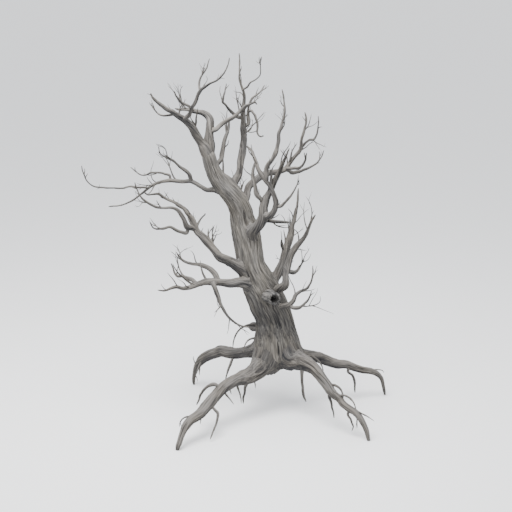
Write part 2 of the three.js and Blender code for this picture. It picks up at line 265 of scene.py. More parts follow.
def sway_of(name, mean):
    """How far a limb strays from its plain line, in metres. It grows with the limb's mean radius."""
    if name == "trunk":
        return 0.006
    return (0.2 if name in MAIN_ROOTS else 0.13) * mean + 0.004


parents, lines = {}, {}
for name in LIMBS:
    middles, radii = rings[name]
    knots = np.column_stack([middles, radii])
    if name == "trunk":
        below = middles[0] + 0.3 * radii[0] * unit(middles[0] - middles[1])
        knots = np.vstack([[*below, radii[0]], knots])
    else:
        knots = np.vstack([*merge_with_parent(name), knots])
    plain = through(knots, LINE_POINTS)
    mean = plain[:, 3].mean()
    lines[name] = crooked(plain, sway_of(name, mean), 3.0 * mean + 0.16, SEED + 7 * LIMBS.index(name))
print("some parents:", {name: parents[name] for name in list(parents)[:8]})
print("metres of limb:", round(sum(length_of(line) for line in lines.values()), 1))

# %% [markdown]
# ## Weathered relief
# Barkless wood shows the direction it grew in. The surface is a tube round the line whose radius is a
# function of two numbers: the turn round the limb and the distance along it. The turn is wound up along the
# limb, so every ridge, crack and streak follows the same slow spiral. All the unevenness comes from one noise
# function. A sculpted mesh or a displacement modifier could do it too, but a formula stays exact and light.

# %% Seeded noise that closes round a limb
NOISE_ROWS = 257    # steps of v after which the noise repeats along a limb


def smooth_noise(u, v, seed, around):
    """Value noise from -1 to 1: seeded random heights on a whole-number grid, joined both ways by the
    curve 3t² - 2t³. The grid repeats after `around` steps of u, so the pattern closes on itself."""
    heights = np.random.default_rng(seed).uniform(-1, 1, (around, NOISE_ROWS))
    i, j = np.floor(u).astype(int), np.floor(v).astype(int)
    p, q = u - i, v - j
    p, q = p * p * (3 - 2 * p), q * q * (3 - 2 * q)
    i0, i1, j0, j1 = i % around, (i + 1) % around, j % NOISE_ROWS, (j + 1) % NOISE_ROWS
    low = heights[i0, j0] * (1 - p) + heights[i1, j0] * p
    high = heights[i0, j1] * (1 - p) + heights[i1, j1] * p
    return low * (1 - q) + high * q


def ridged(noise):
    """Sharp ridges where the noise crosses zero: 1 - 2|noise|, so from -1 to 1."""
    return 1 - 2 * np.abs(noise)


print("noise at three places:", smooth_noise(np.array([0.0, 0.5, 4.5]), np.zeros(3), SEED, 4).round(3))

# %% Frames along a line
def carried_frame(line):
    """Tangent, side and third direction at each point. The side is the direction in which the limb bends
    least, made square to the tangent, so the frame never spins."""
    tangent = unit(np.gradient(line[:, :3], axis=0))
    centred = line[:, :3] - line[:, :3].mean(axis=0)
    flattest = np.linalg.svd(centred, full_matrices=False)[2][2]
    side = unit(flattest - (tangent @ flattest)[:, None] * tangent)
    return tangent, side, np.cross(tangent, side)


print("the trunk's side direction at its foot:", carried_frame(lines["trunk"])[1][0].round(2))

# %% Old knots
PITTED = 0.6    # the share of knots whose twig rotted away


def knot_mounds(turn, along, radius, seed):
    """Rounded swellings at seeded places, each height * exp(-away²), with a small pit in some of them. The
    distance away is measured in widths of the knot, and a knot is half as long again as it is wide."""
    rng = np.random.default_rng(seed)
    length, mean = float(along.max()), float(radius.mean())
    mounds, pits = np.zeros(turn.shape), np.zeros(turn.shape)
    for place in rng.uniform(0.06, 0.94, int(length / (9 * mean + 0.12)) + 1) * length:
        width = mean * rng.uniform(0.3, 0.6)
        swing = (turn - rng.uniform(0, 1) + 0.5) % 1.0 - 0.5
        away = np.hypot((along - place) / (1.5 * width), 2 * math.pi * swing * radius[:, None] / width)
        mounds += width * rng.uniform(0.25, 0.5) * np.exp(-away**2)
        pits += np.exp(-((away / 0.35) ** 2)) * (rng.uniform(0, 1) < PITTED)
    return mounds - 0.15 * mean * np.minimum(pits, 1), pits


# %% The relief of old wood
RIDGE_WIDTH = 0.027     # metres from one ridge of the grain to the next
CRACK_LENGTH = 0.55     # metres along a drying crack
RIDGE_LENGTH, FINE_LENGTH, FLUTE_LENGTH = 0.42, 0.22, 0.9   # metres along the grain
WAVER = 0.22 / 5        # turns by which the grain wanders from its spiral
CRACK_EDGE = 0.62       # noise above this is a crack
LUMPS = {"trunk": 0.1, "root": 0.2, "bough": 0.17}              # as a share of the radius
GRAIN_DEPTH = {"trunk": 0.014, "root": 0.011, "bough": 0.010}   # metres, on a thick limb


def wood_relief(turn, along, radius, seed, kind):
    """Height of the surface above a plain round limb, in metres, and the same as a mask from -1 to 1.

    It is the sum of broad flutes, lumps about as long as the limb is thick, sharp ridges along the grain,
    fine ridges between them, and narrow cracks. Ridges and cracks are noise stretched along the grain."""
    mean = float(radius.mean())
    r = radius[:, None]
    ridges = max(5, round(2 * math.pi * mean / RIDGE_WIDTH))
    depth = GRAIN_DEPTH[kind] * min(1.0, (mean / 0.05) ** 0.6)
    grain = turn + WAVER * smooth_noise(turn * 5, along / 0.35, seed + 1, 5)
    flutes = smooth_noise(grain * 4, along / FLUTE_LENGTH, seed + 2, 4)
    lumps = smooth_noise(turn * 3, along / (3.2 * mean + 0.03), seed + 3, 3)
    coarse = ridged(smooth_noise(grain * ridges, along / RIDGE_LENGTH, seed + 4, ridges))
    fine = ridged(smooth_noise(grain * ridges * 2, along / FINE_LENGTH, seed + 5, ridges * 2))
    split = smooth_noise(grain * ridges, along / CRACK_LENGTH, seed + 6, ridges)
    cracks = np.clip((np.abs(split) - CRACK_EDGE) * 6, 0, 1) * (split > 0)
    knots, pits = knot_mounds(turn, along, radius, seed + 8)
    height = (0.09 * r * flutes + LUMPS[kind] * r * lumps + depth * (0.7 * coarse + 0.3 * fine)
              - 2.0 * depth * cracks + knots)
    # In the colour this mask darkens the cracks and the pits of old knots: painted shade, with the dirt that
    # cracks hold.
    mask = np.clip(0.5 * coarse + 0.25 * fine + 0.2 * flutes - 1.2 * cracks - 1.5 * pits, -1, 1)
    return height, mask


print("ridges round the trunk's foot:", round(2 * math.pi * float(lines["trunk"][0, 3]) / RIDGE_WIDTH))

# %% [markdown]
# ## Collars and buttresses
# Wood flows round a branch where it leaves its parent. So a parent swells in a smooth mound at each place
# where a child leaves it, stretched along the grain. A root's mound reaches high up the trunk, as a buttress.
# The child's own surface then has to meet that mound in a hollow curve, as the inside of an elbow does. A
# boolean union and a remesh would do it, but they lose the grain. Instead each child's first rows are pushed
# out on to the smooth union of two shapes: the child's tube and its parent's finished surface.

# %% Mounds where children leave
COLLARS = {"root": (2.3, 1.25, 0.6), "bough": (1.8, 1.2, 0.15)}   # length, width, height, in child's radii
STARTWARD = {"root": 0.6, "bough": 1.2}   # a mound's length towards the parent's start, as a share of COLLARS


def collar_mounds(name, line, frames, turn, along):
    """Sum over the children of a limb of height * exp(-(distance along)² - (distance round)²), with both
    distances measured in the length and width of the mound."""
    _, side, third = frames
    radius = line[:, 3][:, None]
    mounds = np.zeros(turn.shape)
    for child, parent in parents.items():
        if parent != name:
            continue
        middles, radii = rings[child]
        start, width = middles[0], radii[0]
        row = int(np.argmin(np.linalg.norm(line[:, :3] - start, axis=1)))
        offset = start - line[row, :3]
        angle = math.atan2(offset @ third[row], offset @ side[row]) / (2 * math.pi)
        swing = (turn - angle + 0.5) % 1.0 - 0.5
        kind = "root" if child in MAIN_ROOTS else "bough"
        tall, wide, high = COLLARS[kind]
        beyond = along - along[row]
        reach = np.where(beyond > 0, tall, tall * STARTWARD[kind]) * width
        mounds += high * width * np.exp(-((beyond / reach) ** 2)
                                        - (2 * math.pi * swing * radius / (wide * width)) ** 2)
    return mounds


print("mounds on the trunk:", sum(parent == "trunk" for parent in parents.values()))

# %% A hollow curve where a limb meets its parent
surfaces = {}      # for each finished limb: its line, two directions across it, and its radius all round
BLEND_STEPS = 8    # steps that bring the surface on to the smooth union
NO_BLEND = 1e-6    # metres: a width that is as good as nothing, and isn't zero


def height_above(name, points, rows):
    """How far points stand above a finished limb: the distance from its line less the radius on that side."""
    line, side, third, out = (part[rows] for part in surfaces[name])
    away = np.linalg.norm(points[:, None, :] - line[None, :, :], axis=-1)
    row = np.argmin(away - out.mean(axis=1), axis=1)
    offset = points - line[row]
    turn = np.arctan2((offset * third[row]).sum(axis=1), (offset * side[row]).sum(axis=1)) / (2 * math.pi)
    column = (turn % 1.0) * out.shape[1]
    low = column.astype(int) % out.shape[1]
    share = column - np.floor(column)
    radius = out[row, low] * (1 - share) + out[row, (low + 1) % out.shape[1]] * share
    return np.linalg.norm(offset, axis=1) - radius


def blended(name, grid, direction, count, grow):
    """How far to push the first rows out, so that they lie on the smooth union of limb and parent: with
    heights a above the limb and b above the parent, that is where min(a, b) = k/4 (1 - |a - b| / k)². The
    width k of the blend grows from nothing at the buried end, so the end itself stays hidden. Under a main
    root it is narrow, as wood swells on the upper side. The union lies a little below the parent's surface,
    so the child's edge dips into it."""
    width = rings[name][1][0]
    k = NO_BLEND + width * grow[:count]
    if name in MAIN_ROOTS:
        k = k * np.clip(1.0 + 0.8 * direction[:count, :, 2], 0.25, 1.15)
    sink = 0.008 + 0.05 * width
    line, _, _, out = surfaces[parents[name]]
    reach = out.max() + 5 * width
    rows = np.flatnonzero(np.linalg.norm(line - rings[name][0][0], axis=1) < reach)[::2]
    push = np.zeros(grid.shape[:2])
    for _ in range(BLEND_STEPS):
        moved = (grid + push[..., None] * direction)[:count].reshape(-1, 3)
        own = push[:count]
        other = height_above(parents[name], moved, rows).reshape(own.shape) + sink
        union = np.minimum(own, other) - k / 4 * np.clip(1 - np.abs(own - other) / k, 0, 1) ** 2
        push[:count] = np.clip(own - union, 0, 1.2 * k)
    return push


# %% [markdown]
# ## From points to a mesh
# Every piece of this tree is a tube or a bundle of tubes: rows of corners round a line, joined by squares,
# with a fan of triangles that closes each end. The corners and faces go into Blender as whole arrays. The
# Skin modifier makes tubes too, but it can't carry the grain's own coordinates.

# %% From a grid of points to a closed mesh
def tube_faces(rows, sides):
    """Corner numbers of a closed tube: squares between rows, and a fan to a pole at each end. The poles are
    numbered after the grid, start first."""
    grid = np.arange(rows * sides).reshape(rows, sides)
    ahead = np.roll(grid, -1, axis=1)
    squares = np.stack([grid[:-1], ahead[:-1], ahead[1:], grid[1:]], axis=-1).reshape(-1, 4)
    start = np.full(sides, rows * sides)
    first = np.stack([ahead[0], grid[0], start], axis=-1)
    last = np.stack([grid[-1], ahead[-1], start + 1], axis=-1)
    return squares, np.concatenate([first, last])


def build_mesh(name, points, squares, fans, layers):
    """A mesh object from arrays of corners, four-sided and three-sided faces, with attribute layers."""
    mesh = bpy.data.meshes.new(name)
    loops = np.concatenate([squares.ravel(), fans.ravel()]).astype(np.int32)
    starts = np.concatenate([np.arange(len(squares)) * 4, len(squares) * 4 + np.arange(len(fans)) * 3])
    mesh.vertices.add(len(points))
    mesh.vertices.foreach_set("co", points.astype(np.float32).ravel())
    mesh.loops.add(len(loops))
    mesh.loops.foreach_set("vertex_index", loops)
    mesh.polygons.add(len(starts))
    mesh.polygons.foreach_set("loop_start", starts.astype(np.int32))
    mesh.update(calc_edges=True)
    mesh.shade_smooth()
    for layer, values in layers.items():
        kind, key = ("FLOAT_VECTOR", "vector") if values.ndim == 2 else ("FLOAT", "value")
        attribute = mesh.attributes.new(layer, kind, "POINT")
        attribute.data.foreach_set(key, values.astype(np.float32).ravel())
    piece = bpy.data.objects.new(name, mesh)
    bpy.context.scene.collection.objects.link(piece)
    return piece


print("faces of a tube of 3 rows and 4 sides:", sum(len(part) for part in tube_faces(3, 4)))

# %% [markdown]
# ## The pattern's own coordinates
# The colour of old wood runs along the grain, so each piece carries the coordinates of the limb as if it were
# straightened and untwisted: across, across, and along. Two more numbers say how high the relief stands, and
# how light the wood is painted: upper sides lighter, partly from bleaching and partly as painted light from
# above, and undersides darker with painted shade.

# %% Coordinates along the grain
TWIST = {"trunk": 0.035, "root": 0.08, "bough": 0.25}   # turns of the grain for each metre
SHADE_BAND_HEIGHT, SHADE_BAND_SPREAD = 1.9, 0.75                    # metres: the band of painted shade low on the trunk


def limb_kind(name):
    """Whether a limb is the trunk, a root or a bough."""
    return "trunk" if name == "trunk" else "root" if name in ROOT_NAMES else "bough"


def grain_layers(turn, along, radius, wound, mask, bleach_and_painted_shade):
    """The limb straightened: (r cos a, r sin a, distance along), the relief mask, and the mask of bleaching
    and painted light and shade.
    """
    angle = 2 * math.pi * wound
    grain = np.stack([radius * np.cos(angle), radius * np.sin(angle), along + 0 * turn], axis=-1)
    return {"grain": grain.reshape(-1, 3), "relief": mask.ravel(), "bleach_and_painted_shade": bleach_and_painted_shade.ravel()}


def with_poles(layers, length, last):
    """The layers with two more rows, for the poles at the start and the end of a tube."""
    ends = {"grain": [[0, 0, 0], [0, 0, length]], "relief": [0, last], "bleach_and_painted_shade": [0, last]}
    return {key: np.concatenate([values, ends[key]]) for key, values in layers.items()}


def shaded(name, heights, along):
    """Painted shade: how much darker a limb is painted, as exp(-distance²) from a band low on the trunk, from
    the place where a main root leaves the trunk, and from the trunk's underside."""
    is_trunk = name == "trunk"
    shade = np.exp(-(((heights - SHADE_BAND_HEIGHT) / SHADE_BAND_SPREAD) ** 2)) * is_trunk
    shade = shade + 0.6 * np.exp(-((along / 1.1) ** 2)) * (name in MAIN_ROOTS)
    return shade + 1.6 * np.exp(-((along / 0.22) ** 2)) * is_trunk


print("kinds of limb:", {kind: sum(limb_kind(name) == kind for name in LIMBS) for kind in TWIST})

# %% Rows and sides of a limb
GRID = {"trunk": 0.0115, "root": 0.009, "bough": 0.0085}   # metres between corners on a thick limb
WIDEST_STEP = 0.02                                         # metres between rows, on any limb
FEWEST_SIDES, MOST_SIDES = 12, 200


def limb_rows(name):
    """The limb's line at each row of its grid, the distance along it, and the number of sides. A thin limb
    needs no closer rows than 0.3 of its radius."""
    spacing = GRID[limb_kind(name)]
    length = length_of(lines[name])
    mean = lines[name][:, 3].mean()
    rows = int(length / max(spacing, min(WIDEST_STEP, 0.3 * mean))) + 2
    sides = int(np.clip(2 * math.pi * mean / spacing, FEWEST_SIDES, MOST_SIDES))
    pick = np.linspace(0, LINE_POINTS - 1, rows)
    line = np.column_stack([np.interp(pick, np.arange(LINE_POINTS), column) for column in lines[name].T])
    return line, np.linspace(0, length, rows)[:, None], sides


def rounded_end(distance, reach):
    """A factor that rises from 0 to 1 as a quarter circle over the reach from an end."""
    return np.sqrt(np.clip(1 - np.clip(1 - distance / reach, 0, 1) ** 2, 0.001, 1))


print("the trunk's rows and sides:", len(limb_rows("trunk")[0]), limb_rows("trunk")[2])

# %% A limb with its relief
BOUGH_EXTRA = 0.003    # metres added to a bough's radius
TIP_LENGTH = 0.8       # how far a tip reaches past its last row, in radii
wood_pieces = []


def limb_radius(name, line, along, turn, frames, direction):
    """Radius + relief + mounds, rounded off at the buried end, and pushed out to meet the parent. Gives the
    radius all round and the relief mask. The relief fades towards the tip, and inside the parent."""
    kind = limb_kind(name)
    length = along[-1, 0]
    radius = line[:, 3] + (BOUGH_EXTRA if kind == "bough" else 0.0)
    seed = SEED + 31 * LIMBS.index(name)
    height, mask = wood_relief(turn + TWIST[kind] * along, along, radius, seed, kind)
    leaves = along[np.argmin(np.linalg.norm(line[:, :3] - rings[name][0][0], axis=1))] + 1e-6
    fade = np.clip((length - along) / (3 * radius[-1] + 0.02), 0, 1) * np.clip(along / leaves, 0.2, 1)
    out = radius[:, None] + height * fade + collar_mounds(name, line, frames, turn, along)
    out = out * rounded_end(along, radius[0])
    if name == "trunk":
        return out * rounded_end(length - along, 2 * radius[-1]), mask
    count = int(np.count_nonzero(along[:, 0] < leaves + 4 * rings[name][1][0]))
    grow = np.clip(1.1 * along / leaves - 0.1, 0, 1)
    plain = line[:, None, :3] + out[..., None] * direction
    return out + blended(name, plain, direction, count, grow * grow * (3 - 2 * grow)), mask


def make_limb(name):
    """Point = line + radius all round * (cos a * side + sin a * third). A foot ends flat at the ground."""
    line, along, sides = limb_rows(name)
    frames = carried_frame(line)
    tangent, side, third = frames
    turn = np.linspace(0, 1, sides, endpoint=False)[None, :] + np.zeros((len(line), 1))
    angle = 2 * math.pi * turn[..., None]
    direction = np.cos(angle) * side[:, None, :] + np.sin(angle) * third[:, None, :]
    out, mask = limb_radius(name, line, along, turn, frames, direction)
    surfaces[name] = (line[:, :3], side, third, out)
    grid = line[:, None, :3] + out[..., None] * direction
    tip_radius = line[-1, 3] + (BOUGH_EXTRA if limb_kind(name) == "bough" else 0.0)
    tip = line[-1, :3] + tangent[-1] * (0 if name in MAIN_ROOTS else TIP_LENGTH) * tip_radius
    points = np.concatenate([grid.reshape(-1, 3), [line[0, :3], tip]])
    points[:, 2] = np.maximum(points[:, 2], 0.0)
    # Upper sides lighter and undersides darker, partly bleaching and partly painted light and shade from
    # above, less the painted shade of shaded().
    bleach_and_painted_shade = direction[..., 2] - shaded(name, grid[..., 2], along)
    wound = turn + TWIST[limb_kind(name)] * along
    layers = with_poles(grain_layers(turn, along, out, wound, mask, bleach_and_painted_shade), along[-1, 0], 0)
    piece = build_mesh(f"{name}_wood", points, *tube_faces(len(line), sides), layers)
    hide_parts(name)
    wood_pieces.append((piece, limb_kind(name)))
    return len(piece.data.polygons)


def generation_of(name):
    """How many limbs lie between this limb and the ground: 0 for the trunk."""
    return 0 if name == "trunk" else 1 + generation_of(parents[name])


faces = {name: make_limb(name) for name in sorted(LIMBS, key=generation_of)}   # parents come first
print("limb faces:", sum(faces.values()), "trunk:", faces["trunk"])

# %% [markdown]
# ## Broken stubs
# Two limbs broke off long ago. The one at the front rotted hollow: its wall runs out to a ragged rim, turns
# in, and goes back down a dark shaft. The other is a blunt knob. Both are made as one profile carried along a
# short line, with a rim whose height changes round the stub.

# %% Where a stub stands
def stub_axis(node):
    """Where the stub starts on the trunk's line, its direction, the radius of its far end, and its length.
    The direction goes from the start to the middle of the corners that lie within 6 cm of the far end."""
    points, _ = merged_mesh(node)
    trunk = lines["trunk"]
    middle = points.mean(axis=0)
    base = trunk[np.argmin(np.linalg.norm(trunk[:, :3] - middle, axis=1)), :3]
    axis = unit(middle - base)
    reach = (points - base) @ axis
    rim = points[reach > reach.max() - 0.06]
    end = rim.mean(axis=0)
    radius = np.linalg.norm(rim - end - ((rim - end) @ axis)[:, None] * axis, axis=1).max()
    return base, unit(end - base), radius, reach.max()


print("the hollow stub's end is", round(float(stub_axis("hollow_stub")[2]), 3), "m in radius")

# %% The two stubs
WALL_ROWS, SHAFT_ROWS, STUB_SIDES = 60, 36, 72
SHAFT = {True: (0.64, 0.45, 0.14), False: (0.45, 0.6, 0.02)}   # hollow or not: width, curve, metres deep
RIM_BREAKS = 11       # splinters round the rim
RIM_RAGGED = 0.024    # metres
STUB_TWIST = 0.4      # turns of the grain for each metre


def stub_profile(hollow, length, end_radius):
    """Distance out and radius of each row: along the wall, over the rim, and back down the shaft."""
    out = np.linspace(0, 1, WALL_ROWS)
    wall = end_radius * (1.02 - 0.16 * out + 0.08 * np.exp(-((out - 0.9) / 0.08) ** 2))
    if not hollow:
        wall = 1.25 * wall * np.sqrt(np.clip(1 - np.clip(out - 0.8, 0, 1) ** 2 / 0.06, 0.3, 1))
    back = np.linspace(0, 1, SHAFT_ROWS)
    width, curve, depth = SHAFT[hollow]
    shaft = end_radius * (width * (1 - back) ** curve)
    distance = np.concatenate([out * length, length - depth * np.sin(back * math.pi / 2)])
    return distance[:, None], np.concatenate([wall, shaft])


def make_stub(node, hollow, seed):
    """Point = base + (distance + ragged) * axis + (radius + relief) * (cos a * side + sin a * third). The
    ragged part is noise that grows towards the rim. The relief is weak inside the shaft, which is painted
    dark as shade."""
    base, axis, end_radius, length = stub_axis(node)
    side = unit(np.cross(axis, UP))
    third = np.cross(axis, side)
    along, radius = stub_profile(hollow, length, end_radius)
    rows = len(radius)
    turn = np.linspace(0, 1, STUB_SIDES, endpoint=False)[None, :] + np.zeros((rows, 1))
    height, mask = wood_relief(turn + STUB_TWIST * along, along, radius, seed, "trunk")
    ragged = RIM_RAGGED * ridged(smooth_noise(turn * RIM_BREAKS, 0 * along, seed + 7, RIM_BREAKS)) - 0.02
    ragged = ragged * np.clip((along / length - 0.55) / 0.4, 0, 1) * (1 if hollow else 0.4)
    angle = 2 * math.pi * turn[..., None]
    direction = np.cos(angle) * side + np.sin(angle) * third
    rough = np.where(np.arange(rows)[:, None] < 0.75 * WALL_ROWS, 0.7, 0.3)
    out = radius[:, None] + rough * height
    grid = base + (along + ragged)[..., None] * axis + out[..., None] * direction
    grid[-1] = grid[-1].mean(axis=0)
    points = np.concatenate([grid.reshape(-1, 3), [base, grid[-1, 0]]])
    # Painted shade in the hollow: it grows down the shaft and darkens both colour masks there.
    inside = np.concatenate([np.zeros(WALL_ROWS), np.linspace(0.0, 0.45, SHAFT_ROWS)])[:, None] * hollow
    relief = np.clip(mask - 1.5 * inside, -1, 1)
    layers = grain_layers(turn, along, radius[:, None], turn, relief, direction[..., 2] - inside)
    squares, fans = tube_faces(rows, STUB_SIDES)
    # The hollow's last pole is -1 in both colour masks: painted shade at the bottom of the shaft.
    piece = build_mesh(f"{node}_wood", points, squares, fans, with_poles(layers, length, -int(hollow)))
    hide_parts(node)
    wood_pieces.append((piece, "stub"))
    return len(points)


print("corners of the hollow stub:", make_stub("hollow_stub", True, SEED + 900))
print("corners of the knob:", make_stub("knob", False, SEED + 950))

# %% [markdown]
# ## Twigs by a branching rule
# A dead crown ends in crooked, antler-like twigs. The rule is short: twigs leave a limb at seeded places
# towards its tip, each takes a few steps that wander and turn a little to the sky, and each may fork.
# Rootlets follow the same rule, but turn down. A particle system could scatter copies of a few twigs, but
# copies show, and each twig has to suit the thickness of its limb. So every twig has a path of its own, and
# all the twigs of one generation are worked out at once, as arrays.

# %% One generation of twigs
DRIFT_KEPT = 0.55    # the share of each random turn that carries on into the next step


def wander(starts, headings, lengths, steps, rng, crook, pull):
    """Paths of equal steps. At each step the heading turns by the pull and by a random drift, which keeps a
    share of its last value, so that bends run on for a few steps."""
    paths = np.empty((len(starts), steps + 1, 3))
    paths[:, 0] = starts
    heading = headings.copy()
    drift = rng.normal(0, 1, (len(starts), 3))
    for i in range(steps):
        drift = DRIFT_KEPT * drift + rng.normal(0, 1, (len(starts), 3))
        heading = unit(heading + crook * drift + pull)
        paths[:, i + 1] = paths[:, i] + heading * (lengths / steps)[:, None]
    return paths


def leaning_off(tangent, sideways, angles, rng):
    """Headings at a random angle a to the tangent: cos a * tangent + sin a * (sideways made square to it)."""
    sideways = unit(sideways - (sideways * tangent).sum(axis=1, keepdims=True) * tangent)
    angle = rng.uniform(*angles, len(tangent))[:, None]
    return unit(np.cos(angle) * tangent + np.sin(angle) * sideways)


def fork(paths, radii, lengths, chance, rng, angles):
    """Children of a generation: each twig forks at seeded steps. A child that starts near the tip is shorter
    and thinner."""
    count, steps = paths.shape[0], paths.shape[1] - 1
    picks = np.argwhere(rng.uniform(0, 1, (count, steps - 2)) < chance) + [0, 2]
    twig, step = picks[:, 0], picks[:, 1]
    tangent = unit(paths[twig, step] - paths[twig, step - 1])
    headings = leaning_off(tangent, rng.normal(0, 1, tangent.shape), angles, rng)
    share = 1 - step / steps
    child_lengths = lengths[twig] * (0.35 + 0.6 * share) * rng.uniform(0.5, 0.95, len(twig))
    child_radii = radii[twig] * (0.25 + 0.75 * share) * 0.72
    return paths[twig, step], headings, child_lengths, child_radii


# %% Where twigs leave a limb
LAST_TWIG = 0.93     # the share of a limb's length past which no twig starts
TIPWARD = 0.85       # a power below 1 moves the twigs towards the limb's tip


def sprout(name, spacing, first, rng, angles, lean):
    """Seeded places on a limb from the share `first` to its tip, each with a heading that leaves the limb
    at an angle between the two given and leans towards `lean`, and the limb's radius there."""
    line = lines[name]
    count = max(1, round(length_of(line) * (1 - first) / spacing))
    share = first + (LAST_TWIG - first) * rng.uniform(0, 1, count) ** TIPWARD
    row = (share * (LINE_POINTS - 1)).astype(int)
    tangent = unit(np.gradient(line[:, :3], axis=0))[row]
    headings = leaning_off(tangent, rng.normal(0, 1, tangent.shape) + lean, angles, rng)
    return line[row, :3], headings, line[row, 3]


trial = sprout("left_bough", 1.0, 0.3, np.random.default_rng(SEED), (0.5, 0.9), UP)
print("twigs on left_bough, 1 m apart:", len(trial[0]))

# %% From paths to tubes
FINEST = 0.0012                     # metres: the radius of a twig's tip
LUMPY = (0.86, 1.14)                # the range of a twig's thickness from row to row
FLARE, FLARE_LENGTH = 0.55, 0.07    # how much wider a twig starts, over this share of its length


def tubes(paths, radii, sides, taper, seed):
    """All the twigs of a generation as one array of rings. The line is a cubic Hermite curve through the
    path, with two rows to a step, and the radius falls from the base to a fine point as (1 - t)^taper, with
    a small flare where the twig starts."""
    fine = 2 * (paths.shape[1] - 1) + 1
    t = np.linspace(0, 1, fine)
    coarse = np.linspace(0, 1, paths.shape[1])
    slope = np.gradient(paths, coarse, axis=1)
    i = np.clip((t * (paths.shape[1] - 1)).astype(int), 0, paths.shape[1] - 2)
    h = coarse[1]
    p = ((t - coarse[i]) / h)[None, :, None]
    line = ((2 * p**3 - 3 * p**2 + 1) * paths[:, i] + (p**3 - 2 * p**2 + p) * h * slope[:, i]
            + (3 * p**2 - 2 * p**3) * paths[:, i + 1] + (p**3 - p**2) * h * slope[:, i + 1])
    tangent = unit(np.gradient(line, axis=1))
    mean = unit(tangent.mean(axis=1))
    helper = np.where(np.abs(mean[:, 2:]) < 0.8, [UP], [[1.0, 0.0, 0.0]])   # not nearly along the twig
    flattest = np.cross(mean, helper)[:, None, :]
    side = unit(flattest - (flattest * tangent).sum(axis=-1, keepdims=True) * tangent)
    third = np.cross(tangent, side)
    lumps = np.random.default_rng(seed).uniform(*LUMPY, (len(paths), fine))
    radius = radii[:, None] * (1 - t) ** taper * lumps + FINEST
    radius = radius * (1 + FLARE * np.exp(-((t / FLARE_LENGTH) ** 2)))
    angle = np.linspace(0, 2 * math.pi, sides, endpoint=False)
    direction = np.cos(angle)[:, None] * side[:, :, None, :] + np.sin(angle)[:, None] * third[:, :, None, :]
    return line, direction, radius, angle


# %% From tubes to one piece
PHASE = 3.7    # metres between the grain of one twig and the next, so that no two look alike


def tube_layers(line, direction, radius, angle, lengths, rng):
    """Points and attributes of a generation, one row for each twig, with its two poles last."""
    count, rows = radius.shape
    grid = line[:, :, None, :] + radius[..., None, None] * direction
    poles = np.stack([line[:, 0], line[:, -1] + 0.004 * unit(line[:, -1] - line[:, -2])], axis=1)
    points = np.concatenate([grid.reshape(count, -1, 3), poles], axis=1)
    along = np.linspace(0, 1, rows)[None, :, None] * lengths[:, None, None]
    phase = PHASE * np.arange(count)[:, None, None]
    grain = np.stack(np.broadcast_arrays(radius[..., None] * np.cos(angle) + phase,
                                         radius[..., None] * np.sin(angle), along + phase), axis=-1)
    ends = np.stack([grain[:, 0, 0], grain[:, -1, 0]], axis=1)
    grain = np.concatenate([grain.reshape(count, -1, 3), ends], axis=1)
    mask = rng.uniform(-0.5, 0.5, (count, 1)) + np.zeros(points.shape[:2])
    # Upper sides lighter and undersides darker: partly bleaching, partly painted light and shade from above.
    up = np.concatenate([direction[..., 2].reshape(count, -1), np.zeros((count, 2))], axis=1)
    layers = {"grain": grain.reshape(-1, 3), "relief": mask.ravel(), "bleach_and_painted_shade": up.ravel()}
    return points.reshape(-1, 3), layers


def join_tubes(name, generations, sides, seed):
    """One mesh from several generations of twigs, each twig a closed tube. A twig's corner numbers are those
    of the first twig, plus the number of corners before it."""
    points, squares, fans, layers = [], [], [], []
    offset = 0
    generations = [generation for generation in generations if len(generation[0])]
    for number, (paths, radii, lengths, taper) in enumerate(generations):
        line, direction, radius, angle = tubes(paths, radii, sides, taper, seed + number)
        rng = np.random.default_rng(seed + 50 + number)
        corners, values = tube_layers(line, direction, radius, angle, lengths, rng)
        count, rows = radius.shape
        shift = (offset + (rows * sides + 2) * np.arange(count))[:, None, None]
        base_squares, base_fans = tube_faces(rows, sides)
        squares.append((base_squares[None] + shift).reshape(-1, 4))
        fans.append((base_fans[None] + shift).reshape(-1, 3))
        points.append(corners)
        layers.append(values)
        offset += len(corners)
    points = np.concatenate(points)
    points[:, 2] = np.maximum(points[:, 2], 0.0)
    joined = {key: np.concatenate([values[key] for values in layers]) for key in layers[0]}
    return build_mesh(name, points, np.concatenate(squares), np.concatenate(fans), joined)


# %% [markdown]
# ## How many twigs, and how long
# There are two sizes. Branchlets are few and stout, and start past the first third of a bough. Twigs are
# short and fine, and stand closer together and nearer the tip. A dead tree has lost its finest growth, so
# both stay sparse and the sky shows through. They are joined into one piece for each part of the crown.

# %% Sizes of twig
box_low, box_high = np.array(cad_box[0]), np.array(cad_box[1])
BRANCHLETS = {"spacing": 1.0, "first": 0.3, "length": 0.75, "thickest": 0.026, "forks": (0.2, 0.12)}
TWIGS = {"spacing": 0.42, "first": 0.42, "length": 0.5, "thickest": 0.014, "forks": (0.14, 0.06)}
TWIG_ANGLES, FORK_ANGLES = (0.5, 0.95), (0.4, 0.8)   # radians between a twig and what it grows from
TWIG_LEAN, TWIG_PULL = 0.55 * UP, 0.08 * UP           # to the sky, at the start and at each step
TWIG_CROOK = 0.11
TWIG_STEPS = (9, 7, 5)       # for each generation
TWIG_TAPER = 0.6
TWIG_SIDES = 7
SHORTEST_FORK = 0.08         # metres
THINNEST_TWIG = 0.01         # metres in radius, where it starts
BOX_MARGIN = 0.02            # metres past the solids' box that a twig may reach


def inside_box(paths):
    """Which paths stay inside the solids' box, with a margin."""
    return np.all((paths > box_low - BOX_MARGIN) & (paths < box_high + BOX_MARGIN), axis=(1, 2))


print("branchlets and twigs, metres apart:", BRANCHLETS["spacing"], TWIGS["spacing"])

